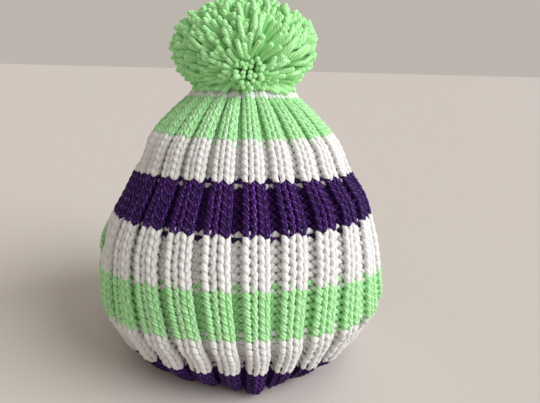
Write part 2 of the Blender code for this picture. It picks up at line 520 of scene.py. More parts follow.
@dataclass
class Crest:
    """The smooth surface over the crests of the ribs, round the whole cosy."""

    profile: tuple[Station, ...] = (  # from the gathered top down to the surface, and inwards on it
        Station("gathered ring", 0.1612, 0.0095),
        Station("top of the neck", 0.1602, 0.0200),
        Station("neck", 0.1565, 0.0285),
        Station("under the neck", 0.1440, 0.0432),
        Station("crown", 0.1305, 0.0552),
        Station("shoulder", 0.1160, 0.0619),
        Station("upper side", 0.1015, 0.0709),
        Station("side", 0.0850, 0.0790),
        Station("upper belly", 0.0680, 0.0845),
        Station("belly", 0.0410, 0.0877),
        Station("lower belly", 0.0280, 0.0833),
        Station("under the belly", 0.0140, 0.0762),
        Station("turn of the hem", 0.0045, 0.0668),
        Station("hem on the surface", 0.0000, 0.0585),
        Station("hem turned in", 0.0000, 0.0480),
        Station("hem turned far in", 0.0000, 0.0370),
    )
    steps: int = 24  # from each station to the next
    handle_slit: Slit = Slit(0.036, 0.119, 0.0085)
    spout_slit: Slit = Slit(0.030, 0.100, 0.0140)
    slit_roundness: float = 0.75
    seam_gap: float = 0.0008  # between the sewn edges
    flow: tuple[RibFlow, ...] = (
        RibFlow(0.000, -0.32, 0.8),
        RibFlow(0.030, -0.32, 0.8),
        RibFlow(0.045, -0.25, -0.4),
        RibFlow(0.060, -0.14, -1.2),
        RibFlow(0.080, -0.03, -2.0),
        RibFlow(0.095, 0.00, -2.3),
        RibFlow(0.115, -0.05, -2.3),
        RibFlow(0.165, -0.06, -2.3),
    )
    bulges: tuple[Bulge, ...] = (
        Bulge("shoulder over the spout", 82, 0.121, 32, 0.010, 0.0013),
        Bulge("hollow over the handle", -82, 0.121, 32, 0.010, -0.0013),
        Bulge("side over the spout", 82, 0.098, 32, 0.012, 0.0019),
        Bulge("side over the handle", -82, 0.098, 32, 0.012, -0.0019),
        Bulge("belly below the spout", 82, 0.039, 32, 0.012, 0.0013),
        Bulge("belly below the handle", -82, 0.039, 32, 0.012, -0.0006),
        Bulge("foot below the spout", 90, 0.002, 26, 0.011, 0.0050),
        Bulge("foot below the handle", -90, 0.002, 26, 0.011, 0.0062),
        Bulge("rib pulled out at the hem", 6, 0.000, 9, 0.010, 0.0066),
        Bulge("edge pushed out by the handle", -99, 0.058, 14, 0.021, 0.0076),
        Bulge("front edge drawn in by the handle", -82, 0.066, 9, 0.015, -0.0032),
        Bulge("slack cloth behind", 160, 0.060, 30, 0.030, 0.0018),
        Bulge("hem pulled out behind", -150, 0.000, 14, 0.010, 0.0035),
    )

    def __post_init__(self) -> None:
        """Work out the curve and its length from the gathered ring down, and lay out how the ribs run."""
        stations = np.array([(station.radius, station.height) for station in self.profile])
        padded = np.vstack([stations[:1], stations, stations[-1:]])
        curve = [
            spline(*neighbours, share)
            for neighbours in zip(padded, padded[1:], padded[2:], padded[3:])
            for share in np.arange(self.steps) / self.steps
        ]
        self.points = np.array([*curve, stations[-1]])
        pieces = np.linalg.norm(np.diff(self.points, axis=0), axis=1)
        self.lengths = np.concatenate([[0.0], np.cumsum(pieces)])
        foot = next(i for i, station in enumerate(self.profile) if station.height == 0.0)
        self.length_to_foot = self.lengths[foot * self.steps]
        self.flow_heights = [flow.height for flow in self.flow]
        self.flow_widths = [flow.wider for flow in self.flow]
        self.flow_turns = [math.radians(flow.turn) for flow in self.flow]

    def at(self, distance: np.ndarray) -> tuple[np.ndarray, np.ndarray]:
        """Radius and height this far along the curve."""
        radii, heights = self.points.T
        return np.interp(distance, self.lengths, radii), np.interp(distance, self.lengths, heights)

    def distance_at(self, height: float) -> float:
        """Where the curve comes down to a height.

        Args:
            height: above the surface that the cosy stands on.

        Returns:
            How far that is along the curve.
        """
        last = int(np.argmax(self.points[:, 1] <= height))
        above, below = self.points[last - 1, 1], self.points[last, 1]
        share = (above - height) / max(above - below, LEAST)
        return float(self.lengths[last - 1] + share * (self.lengths[last] - self.lengths[last - 1]))

    def height_over(self, radius: np.ndarray) -> np.ndarray:
        """How high the curve is at each radius, on the upper side."""
        radii, heights = self.points[: int(np.argmax(self.points[:, 0])) + 1].T
        return np.interp(radius, radii, heights)

    def surface(self, side: Side, across: np.ndarray, distance: np.ndarray) -> np.ndarray:
        """Points on the surface.

        Args:
            side: the panel.
            across: place across the panel, from -1 to 1.
            distance: how far down the curve.

        Returns:
            Points, with x, y and z last.
        """
        radius, height = self.at(distance)
        to_spout = across * math.cos(side.value) > 0
        spout, handle = self.half_gap(self.spout_slit, height), self.half_gap(self.handle_slit, height)
        quarter = math.pi / 2 - np.where(to_spout, spout, handle) / np.maximum(radius, self.seam_gap)
        inside = 1 - across**2
        spread = across * (1 + np.interp(height, self.flow_heights, self.flow_widths) * inside)
        turn = np.interp(height, self.flow_heights, self.flow_turns) * inside
        azimuth = side.value + quarter * spread + turn
        radius = radius + self.rise(azimuth, height)
        return np.stack([radius * np.sin(azimuth), -radius * np.cos(azimuth), height], axis=-1)

    def half_gap(self, slit: Slit, height: np.ndarray) -> np.ndarray:
        """Half the width of the opening between the panels.

        Args:
            slit: the slit on that side.
            height: where to measure it.

        Returns:
            Half the slit's width, or half the sewn gap above and below it.
        """
        share = np.clip((height - slit.low) / (slit.high - slit.low), 0.0, 1.0)
        bow = np.sin(math.pi * share).clip(0.0) ** self.slit_roundness
        return np.maximum(self.seam_gap / 2, slit.half_gap * bow)

    def rise(self, azimuth: np.ndarray, height: np.ndarray) -> np.ndarray:
        """How far the cloth stands out, over all its soft lumps and hollows.

        Args:
            azimuth: direction from the axis.
            height: height above the surface.

        Returns:
            How far out, in metres.
        """
        total = np.zeros_like(azimuth)
        for bulge in self.bulges:
            turn = np.angle(np.exp(1j * (azimuth - math.radians(bulge.azimuth))))
            beside, above = turn / math.radians(bulge.wide), (height - bulge.height) / bulge.tall
            total += bulge.rise * np.exp(-(beside**2) - above**2)
        return total


@dataclass(frozen=True)
class Leg:
    """One leg of a stitch in the rib's repeat, at the belly and at the gathered neck."""

    name: str
    share: float  # of the repeat's width
    depth: float  # of the furrow's
    neck_share: float
    neck_depth: float
    thickness: float  # of the yarn's
    lean: float  # in stitches


@dataclass
class RibFold:
    """How a repeat of knit two, purl two folds: where each leg of its stitches lies across, and how deep."""

    legs: tuple[Leg, ...] = (
        Leg("first knit stitch, left leg", 0.078, 0.02, 0.078, 0.14, 1.04, 0.125),
        Leg("first knit stitch, right leg", 0.288, 0.10, 0.270, 0.02, 0.95, 0.190),
        Leg("second knit stitch, left leg", 0.468, 0.02, 0.455, 0.00, 0.98, 0.190),
        Leg("second knit stitch, right leg", 0.594, 0.08, 0.600, 0.20, 0.95, 0.180),
        Leg("first purl stitch, left leg", 0.622, 0.92, 0.650, 0.80, 0.72, 0.160),
        Leg("first purl stitch, right leg", 0.690, 0.96, 0.715, 0.98, 0.92, 0.170),
        Leg("second purl stitch, left leg", 0.800, 0.97, 0.808, 1.00, 0.98, 0.170),
        Leg("second purl stitch, right leg", 0.984, 0.80, 0.980, 0.85, 0.95, 0.140),
    )
    repeat_stitches: int = 4
    knit_stitches: int = 2  # of them, which come first
    ribs: int = 12
    knit_width: float = 0.70  # of a repeat, which the last rib takes up
    first_leg: float = 0.25  # in stitches from the edge

    def __post_init__(self) -> None:
        """Work out the width of a repeat and the number of stitches across a panel."""
        self.repeat = 2.0 / (self.ribs - 1 + self.knit_width)
        self.stitches = self.repeat_stitches * (self.ribs - 1) + self.knit_stitches

    def fold(self, stitch: np.ndarray, gathered: np.ndarray) -> tuple[np.ndarray, ...]:
        """The fold at each stitch place.

        Args:
            stitch: stitches from the panel's edge.
            gathered: 0 at the belly and 1 at the neck.

        Returns:
            Repeats across, depth share, and how fast each of them changes with the stitch place.
        """
        belly = (*self.smooth(stitch, "share", 1.0), *self.smooth(stitch, "depth"))
        neck = (*self.smooth(stitch, "neck_share", 1.0), *self.smooth(stitch, "neck_depth"))
        across, across_slope, depth, depth_slope = (a + (b - a) * gathered for a, b in zip(belly, neck))
        return across, depth, across_slope, depth_slope

    def thickness(self, stitch: np.ndarray) -> np.ndarray:
        """How thick the yarn is at each stitch place, next to the average."""
        return self.smooth(stitch, "thickness")[0]

    def lean(self, stitch: np.ndarray) -> np.ndarray:
        """How far each leg leans, in stitches."""
        return self.smooth(stitch, "lean")[0]

    def smooth(self, stitch: np.ndarray, of_leg: str, rise: float = 0.0) -> tuple[np.ndarray, np.ndarray]:
        """A smooth curve through one value of each leg.

        Args:
            stitch: stitches from the panel's edge.
            of_leg: which value of the legs.
            rise: how much it goes up in each repeat.

        Returns:
            The curve, and its slope.
        """
        values = np.array([getattr(leg, of_leg) for leg in self.legs])
        knot = (stitch - self.first_leg) * LEGS_PER_STITCH
        cell = np.floor(knot).astype(int)
        near = [values[(cell + i) % len(values)] + rise * ((cell + i) // len(values)) for i in (-1, 0, 1, 2)]
        return spline(*near, knot - cell), spline_slope(*near, knot - cell) * LEGS_PER_STITCH


class TubeBuilder:
    """Gathers tubes of yarn into one mesh, with the yarn map on them."""

    TIP_SPOT = (0.5, 0.04)  # the middle and the radius of the tips' place on the map

    def __init__(self, sides: int) -> None:
        """Start with nothing.

        Args:
            sides: faces round each tube.
        """
        self.sides = sides
        self.points: list[np.ndarray] = []
        self.corners: list[np.ndarray] = []
        self.sizes: list[np.ndarray] = []
        self.maps: list[np.ndarray] = []
        self.count = 0

    def add(self, centres: np.ndarray, outward: np.ndarray, radii: np.ndarray, along: np.ndarray) -> None:
        """Add many tubes that have the same number of points.

        Args:
            centres: tubes, points along each, and x, y, z.
            outward: the direction that faces out of the cloth at each point.
            radii: the yarn's radius at each point.
            along: place along the yarn map at each point, in tiles.
        """
        tangent = unit(np.gradient(centres, axis=1))
        normal = unit(outward - tangent * np.sum(outward * tangent, axis=-1, keepdims=True))
        side = np.cross(tangent, normal)
        turn = np.arange(self.sides) * math.tau / self.sides
        spoke = np.cos(turn)[:, None] * normal[:, :, None] + np.sin(turn)[:, None] * side[:, :, None]
        k = np.arange(self.sides)
        low, high = along[:, :-1, None] + 0 * k, along[:, 1:, None] + 0 * k
        base = np.floor((low + high) / 2)
        low, high = low - base, high - base
        left, right = k / self.sides + 0 * low, (k + 1) / self.sides + 0 * low
        uv = np.stack([low, left, low, right, high, right, high, left], axis=-1)
        self.skin(centres[:, :, None] + radii[:, :, None, None] * spoke, uv)

    def add_ball(self, points: np.ndarray) -> None:
        """Add a closed ball.

        Args:
            points: rings from the lowest up, points round each, and x, y, z.
        """
        rings, turns = points.shape[:2]
        ring, k = np.meshgrid(np.arange(rings - 1), np.arange(turns), indexing="ij")
        low, high = k / turns, (k + 1) / turns
        below, above = ring / rings, (ring + 1) / rings
        self.skin(points[None], np.stack([low, below, high, below, high, above, low, above], axis=-1))

    def skin(self, rings: np.ndarray, uv: np.ndarray) -> None:
        """Join rings of points by faces, and close both ends.

        Args:
            rings: tubes, rings along each, points round each, and x, y, z.
            uv: the yarn map at the four corners of each face.
        """
        tubes, steps, sides = rings.shape[:3]
        tube, step, k = np.meshgrid(np.arange(tubes), np.arange(steps - 1), np.arange(sides), indexing="ij")
        near = self.count + (tube * steps + step) * sides
        far, after = near + sides, (k + 1) % sides
        self.gather(np.stack([near + k, near + after, far + after, far + k], axis=-1), uv)

        around = np.arange(sides)
        first = self.count + np.arange(tubes)[:, None] * steps * sides
        middle, radius = self.TIP_SPOT
        turn = around * math.tau / sides
        spot = np.stack([middle + radius * np.cos(turn), middle + radius * np.sin(turn)], axis=-1)
        self.gather(first + around[::-1], np.tile(spot[::-1], (tubes, 1)))
        self.gather(first + (steps - 1) * sides + around, np.tile(spot, (tubes, 1)))
        self.points.append(rings.reshape(-1, 3))
        self.count += tubes * steps * sides

    def gather(self, corners: np.ndarray, uv: np.ndarray) -> None:
        """Keep some faces.

        Args:
            corners: the points of each face, with the corners last.
            uv: the yarn map at each corner.
        """
        self.corners.append(corners.reshape(-1))
        self.sizes.append(np.full(corners.size // corners.shape[-1], corners.shape[-1]))
        self.maps.append(uv.reshape(-1, 2))

    def build(self, name: str, material: bpy.types.Material) -> bpy.types.Object:
        """Make the piece.

        Args:
            name: the piece's name.
            material: its yarn.

        Returns:
            The finished object, at the origin.
        """
        arrays = (np.concatenate(part) for part in (self.points, self.corners, self.sizes, self.maps))
        return mesh_piece(name, *arrays, [material])


def mesh_piece(
    name: str,
    points: np.ndarray,
    corners: np.ndarray,
    sizes: np.ndarray,
    uv: np.ndarray,
    materials: list[bpy.types.Material],
) -> bpy.types.Object:
    """One object from arrays, smooth shaded and with the yarn map.

    Args:
        name: the piece's name.
        points: every point.
        corners: the points of each face, one face after another.
        sizes: how many corners each face has.
        uv: the map's place for each corner.
        materials: its finishes.

    Returns:
        The object, linked to the scene.
    """
    mesh = bpy.data.meshes.new(name)
    mesh.vertices.add(len(points))
    mesh.vertices.foreach_set("co", points.astype(np.float32).reshape(-1))
    mesh.loops.add(len(corners))
    mesh.loops.foreach_set("vertex_index", corners.astype(np.int32))
    mesh.polygons.add(len(sizes))
    starts = np.concatenate([[0], np.cumsum(sizes)[:-1]])
    mesh.polygons.foreach_set("loop_start", starts.astype(np.int32))
    mesh.polygons.foreach_set("use_smooth", np.ones(len(sizes), dtype=bool))
    layer = mesh.uv_layers.new(name=YARN_MAP)
    layer.data.foreach_set("uv", uv.astype(np.float32).reshape(-1))
    for material in materials:
        mesh.materials.append(material)
    mesh.update(calc_edges=True)
    mesh.validate()
    made = bpy.data.objects.new(name, mesh)
    bpy.context.scene.collection.objects.link(made)
    return made


@dataclass(frozen=True)
class Stripe:
    """Rows of one yarn, and how high their upper edge is at the middle and at the sides of a panel."""

    name: str
    yarn: Yarn
    rows: int
    top_at_middle: float
    top_at_sides: float


@dataclass(frozen=True)
class Puff:
    """Rows where the furrows' yarn lies deeper, so that the ribs stand out between them."""

    row: float
    spread: float
    depth: float


@dataclass
class KnittedPanel:
    """One half of the cosy: its loops of yarn, stripe by stripe, and the thin cloth in painted shade that
    holds them.
    """

    name: str
    side: Side
    node: str
    crest: Crest
    seed: int
    ribs: RibFold = field(default_factory=RibFold)
    stripes: tuple[Stripe, ...] = (
        Stripe("hem", Yarn.PURPLE, 7, 0.0210, 0.0005),
        Stripe("first_white", Yarn.WHITE, 6, 0.0460, 0.0280),
        Stripe("low_green", Yarn.GREEN, 6, 0.0700, 0.0530),
        Stripe("second_white", Yarn.WHITE, 6, 0.0940, 0.0870),
        Stripe("purple", Yarn.PURPLE, 6, 0.1170, 0.1105),
        Stripe("third_white", Yarn.WHITE, 6, 0.1360, 0.1340),
        Stripe("top_green", Yarn.GREEN, 6, 0.1554, 0.1534),
        Stripe("neck", Yarn.WHITE, 2, 0.1588, 0.1588),
    )
    tops_at_handle: tuple[float, ...] = ()  # the stripes' upper edges there, if they have their own
    hem_at_middle: float = 0.0070  # how far in under the cosy the hem ends
    hem_at_sides: float = 0.0190
    side_power: float = 2.2  # how late the rows turn from their height in the middle to that at the sides
    hem_powers: Range = (2.7, 1.70)  # the same at the hem, to the handle's side and to the spout's
    hem_rows: Range = (6.0, 14.0)  # over which it changes
    steps: int = 12  # along the yarn in each stitch
    sides: int = 8
    yarn_radius: float = 0.00164
    neck_yarn_radius: float = 0.00134
    loop_depth: float = 0.00058
    neck_loop_depth: float = 0.00052
    furrow_depth: float = 0.0050
    neck_furrow_depth: float = 0.0030
    furrow_at_sides: float = 0.60  # of its depth in the middle of the panel
    furrow_sides: Range = (0.30, 0.95)  # of the panel's half width, over which it gets shallower
    gathered_rows: Range = (24.0, 41.0)  # over which the rib's fold changes from the belly's to the neck's
    puffs: tuple[Puff, ...] = (Puff(7.0, 4.5, 0.0034), Puff(44.5, 2.5, 0.0012))
    rib_middle: float = 0.345  # of the repeat's width
    bobble: float = 0.75  # how much fuller the yarn is where the gathered ribs end
    bobble_rows: Range = (42.8, 44.0)
    top_closed: float = 0.65  # how much shallower the furrows are there
    loop_height: float = 0.86  # of a row, from its middle to the middle of the yarn at its top
    purl_relief: float = 1.85  # how much further purl loops stand out and dip than knit ones
    turn_over: float = 0.16  # in stitches, over which a knit loop turns into a purl one
    tuck: float = 0.08  # how much thinner the yarn is where it passes behind
    uneven: float = 0.05  # how much the yarn's thickness wanders
    wander: Triple = (0.035, 0.055, 0.00013)  # how much its place does, across, up, and out of the cloth
    wander_spread: float = 0.5  # the standard deviation of these chance changes
    wander_most: float = 1.2
    edge_points: int = 9  # along the yarn where it turns from one row to the next
    edge_reach: float = 0.42  # in stitches
    edge_lift: float = 0.3  # in loop depths
    edge_tiles: float = 0.25
    repeat_widths: Range = (0.0085, 0.0185)  # where the yarn is as thin as at the neck, and as full as below
    probe: Range = (0.001, 0.0001)  # small steps across the panel and down it, to see how the cloth lies
    sheet_lift: float = -0.9  # in loop depths, from the loops' middle
    sheet_steps: int = 3  # in each stitch
    sheet_thickness: float = 0.0006
    flat_size: Range = (0.210, 0.195)

    def __post_init__(self) -> None:
        """Work out where the rows lie."""
        self.random = np.random.default_rng(self.seed)
        at_middle = tuple(stripe.top_at_middle for stripe in self.stripes)
        at_sides = tuple(stripe.top_at_sides for stripe in self.stripes)
        self.row_table = np.cumsum([0.0, *(stripe.rows for stripe in self.stripes)])
        self.row_count = int(self.row_table[-1])
        self.middle_table = self.edges(self.hem_at_middle, at_middle)
        self.side_table = self.edges(self.hem_at_sides, at_sides)
        self.handle_table = self.edges(self.hem_at_sides, self.tops_at_handle or at_sides)

    def edges(self, hem: float, tops: tuple[float, ...]) -> np.ndarray:
        """How far down the crest's curve the hem and each stripe's upper edge lie."""
        return np.array([self.crest.length_to_foot + hem, *(self.crest.distance_at(top) for top in tops)])

    def distance(self, across: np.ndarray, row: np.ndarray) -> np.ndarray:
        """How far down the crest's curve each row lies.

        Args:
            across: place across the panel, from -1 to 1.
            row: rows from the hem.

        Returns:
            The distance from the gathered ring.
        """
        middle = self.spaced(row, self.middle_table)
        by_handle = across * math.cos(self.side.value) < 0
        sides = np.where(by_handle, self.spaced(row, self.handle_table), self.spaced(row, self.side_table))
        at_hem = np.where(by_handle, *self.hem_powers)
        power = at_hem + (self.side_power - at_hem) * smooth_step(row, *self.hem_rows)
        return middle + (sides - middle) * np.abs(np.clip(across, -1, 1)) ** power

    def spaced(self, row: np.ndarray, distances: np.ndarray) -> np.ndarray:
        """Distance of a row, which keeps on past both ends of the table at the same spacing.

        Args:
            row: rows from the hem.
            distances: the distance at the hem and at each stripe's upper edge.

        Returns:
            The distance at each row.
        """
        table = self.row_table
        inside = np.interp(row, table, distances)
        first = (distances[1] - distances[0]) / (table[1] - table[0])
        last = (distances[-1] - distances[-2]) / (table[-1] - table[-2])
        inside = inside + np.minimum(row - table[0], 0) * first
        return inside + np.maximum(row - table[-1], 0) * last

    def lay(
        self, stitch: np.ndarray, row: np.ndarray, lift: np.ndarray, extra: np.ndarray | float = 0.0
    ) -> tuple[np.ndarray, np.ndarray, np.ndarray]:
        """Put places on the folded cloth into space.

        Args:
            stitch: stitches from the panel's edge.
            row: rows from the hem.
            lift: how far in front of the loops' middle, in loop depths.
            extra: how far out of the cloth besides, in metres.

        Returns:
            Points, the directions out of the cloth, and the yarn's radius at each.
        """
        gathered = smooth_step(row, *self.gathered_rows)
        repeats, depth, repeats_slope, depth_slope = self.ribs.fold(stitch, gathered)
        across = -1 + repeats * self.ribs.repeat
        point, east, out = self.cloth(across, self.distance(across, row))
        width = np.linalg.norm(east, axis=-1) / self.probe[0] * self.ribs.repeat
        east = unit(east)
        full = smooth_step(width, *self.repeat_widths)
        radius = self.neck_yarn_radius + (self.yarn_radius - self.neck_yarn_radius) * full
        loop = self.neck_loop_depth + (self.loop_depth - self.neck_loop_depth) * full
        top = smooth_step(row, *self.bobble_rows)
        furrow = self.neck_furrow_depth + (self.furrow_depth - self.neck_furrow_depth) * full
        furrow = furrow * (1 - self.top_closed * top)
        furrow = furrow * (1 - (1 - self.furrow_at_sides) * smooth_step(np.abs(across), *self.furrow_sides))
        run, drop = width * repeats_slope, furrow * depth_slope
        slope = np.maximum(np.hypot(run, drop), LEAST)
        run, drop = (run / slope)[..., None], (drop / slope)[..., None]
        offset = (lift * loop + extra)[..., None]
        sunk = radius + loop + furrow * depth + self.puffed(row, repeats)
        placed = point + east * (offset * drop) + out * (offset * run - sunk[..., None])
        return placed, east * drop + out * run, radius * (1 + self.bobble * top * (1 - depth.clip(0, 1)))

    def cloth(self, across: np.ndarray, distance: np.ndarray) -> tuple[np.ndarray, np.ndarray, np.ndarray]:
        """How the cloth lies before it is folded.

        Args:
            across: place across the panel, from -1 to 1.
            distance: how far down the crest's curve.

        Returns:
            Points, a small step across the panel from each, and the directions out of the cloth.
        """
        point = self.crest.surface(self.side, across, distance)
        east = self.crest.surface(self.side, across + self.probe[0], distance) - point
        south = self.crest.surface(self.side, across, distance + self.probe[1]) - point
        return point, east, unit(np.cross(south, east))

    def puffed(self, row: np.ndarray, repeats: np.ndarray) -> np.ndarray:
        """How much deeper the yarn lies in the furrows where the ribs are puffed.

        Args:
            row: rows from the hem.
            repeats: repeats across.

        Returns:
            The depth, in metres.
        """
        beside = (1 - np.cos(math.tau * (repeats - self.rib_middle))) / 2
        depths = (puff.depth * np.exp(-(((row - puff.row) / puff.spread) ** 2)) for puff in self.puffs)
        return sum(depths) * beside

    def loops(self, first_row: int, rows: int) -> TubeBuilder:
        """The yarn of some rows: one tube a row, and the turns that join rows at the panel's edges.

        Args:
            first_row: rows below these.
            rows: how many.

        Returns:
            The gathered tubes.
        """
        total = self.ribs.stitches * self.steps
        place = np.tile(np.arange(total + 1) / self.steps, (rows, 1))
        row = first_row + np.arange(rows)[:, None] + 0.5
        turn = math.tau * place
        knit = self.knit(place)
        shake = [self.drift(rows, place) * size for size in self.wander]
        stitch = place + self.ribs.lean(place) * np.sin(2 * turn) + shake[0]
        height = row - self.loop_height * np.cos(turn) + shake[1]
        lift = -knit * np.cos(2 * turn) * np.where(knit < 0, self.purl_relief, 1.0)
        centres, outward, radii = self.lay(stitch, height, lift, shake[2])
        uneven = 1 + self.uneven * self.drift(rows, place)
        radii = radii * self.ribs.thickness(stitch) * uneven * (1 - self.tuck * (1 - lift))
        builder = TubeBuilder(self.sides)
        builder.add(centres, outward, radii, place)
        self.edge_turns(builder, first_row, rows)
        return builder

    def knit(self, place: np.ndarray) -> np.ndarray:
        """Which kind of stitch lies where.

        Args:
            place: stitches from the panel's edge.

        Returns:
            1 in knit stitches and -1 in purl stitches, passing through 0 at the foot between the two kinds.
        """
        in_repeat = np.ceil(place - 1) % self.ribs.repeat_stitches
        kind = np.where(in_repeat < self.ribs.knit_stitches, 1.0, -1.0)
        runs = place / self.ribs.knit_stitches
        from_change = np.abs(runs - np.round(runs)) * self.ribs.knit_stitches
        return kind * smooth_step(from_change, 0.0, self.turn_over)

    def drift(self, rows: int, place: np.ndarray) -> np.ndarray:
        """Smooth chance changes along each row, from one leg to the next.

        Args:
            rows: how many rows.
            place: stitches from the panel's edge, for each row.

        Returns:
            Numbers about -1 to 1.
        """
        knots = (self.ribs.stitches + 1) * LEGS_PER_STITCH + 1
        legs = self.random.normal(0.0, self.wander_spread, (rows, knots))
        legs = legs.clip(-self.wander_most, self.wander_most)
        at = place * LEGS_PER_STITCH + 0.5
        cell = np.floor(at).astype(int)
        share = smooth_step(at - cell, 0.0, 1.0)
        index = np.arange(rows)[:, None]
        return legs[index, cell] * (1 - share) + legs[index, cell + 1] * share

    def edge_turns(self, builder: TubeBuilder, first_row: int, rows: int) -> None:
        """Add short turns of yarn from row to row, at the right edge and at the left edge by turns.

        Args:
            builder: gathers them.
            first_row: rows below these.
            rows: how many.
        """
        share = np.linspace(0.0, 1.0, self.edge_points)
        bow = np.sin(math.pi * share)
        for row in range(first_row, first_row + rows - 1):
            right = row % 2 == 0
            edge = self.ribs.stitches if right else 0.0
            stitch = edge + self.edge_reach * bow * (1 if right else -1)
            height = row + 0.5 - self.loop_height + share
            centres, outward, radii = self.lay(stitch, height, self.edge_lift * bow)
            builder.add(centres[None], outward[None], radii[None], share[None] * self.edge_tiles)

    def backing(self, materials: dict[Yarn, bpy.types.Material]) -> bpy.types.Object:
        """The thin sheet of cloth behind the loops, coloured in painted shade.

        Args:
            materials: the finishes in painted shade.

        Returns:
            The sheet, thickened inwards.
        """
        columns = self.ribs.stitches * self.sheet_steps + 1
        across = np.linspace(0, self.ribs.stitches, columns)
        stitch, row = np.meshgrid(across, np.arange(self.row_count + 1.0))
        points, _, _ = self.lay(stitch, row, np.full(stitch.shape, self.sheet_lift))
        i, j = np.meshgrid(np.arange(self.row_count), np.arange(columns - 1), indexing="ij")
        first = i * columns + j
        corners = np.stack([first, first + 1, first + columns + 1, first + columns], axis=-1).reshape(-1)
        uv = np.stack([stitch / self.ribs.stitches, row / self.row_count], axis=-1).reshape(-1, 2)[corners]
        sizes = np.full(len(corners) // 4, 4)
        shade_finishes = list(materials.values())
        piece = mesh_piece(self.name + "_cloth", points.reshape(-1, 3), corners, sizes, uv, shade_finishes)
        yarns = list(materials)
        of_row = [yarns.index(stripe.yarn) for stripe in self.stripes for _ in range(stripe.rows)]
        of_face = np.repeat(of_row, columns - 1).astype(np.int32)
        piece.data.polygons.foreach_set("material_index", of_face)
        deselect_all()
        bpy.context.view_layer.objects.active = piece
        piece.select_set(True)
        thicken = piece.modifiers.new("cloth", "SOLIDIFY")
        thicken.thickness = self.sheet_thickness
        thicken.offset = -1.0
        bpy.ops.object.modifier_apply(modifier=thicken.name)
        return piece

    def build(self, wardrobe: Wardrobe) -> list[bpy.types.Object]:
        """Make and dress the whole panel.

        Args:
            wardrobe: the finishes.

        Returns:
            Its pieces, the sheet first.
        """
        bands, row = [], 0
        for stripe in self.stripes:
            name = f"{self.name}_{stripe.name}_rows"
            band = self.loops(row, stripe.rows).build(name, wardrobe.yarns[stripe.yarn])
            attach(band, BODY)
            bands.append(band)
            row += stripe.rows
        sheet = self.backing(wardrobe.shade_backings)
        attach(sheet, BODY)
        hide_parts(self.node)
        return [sheet, *bands]


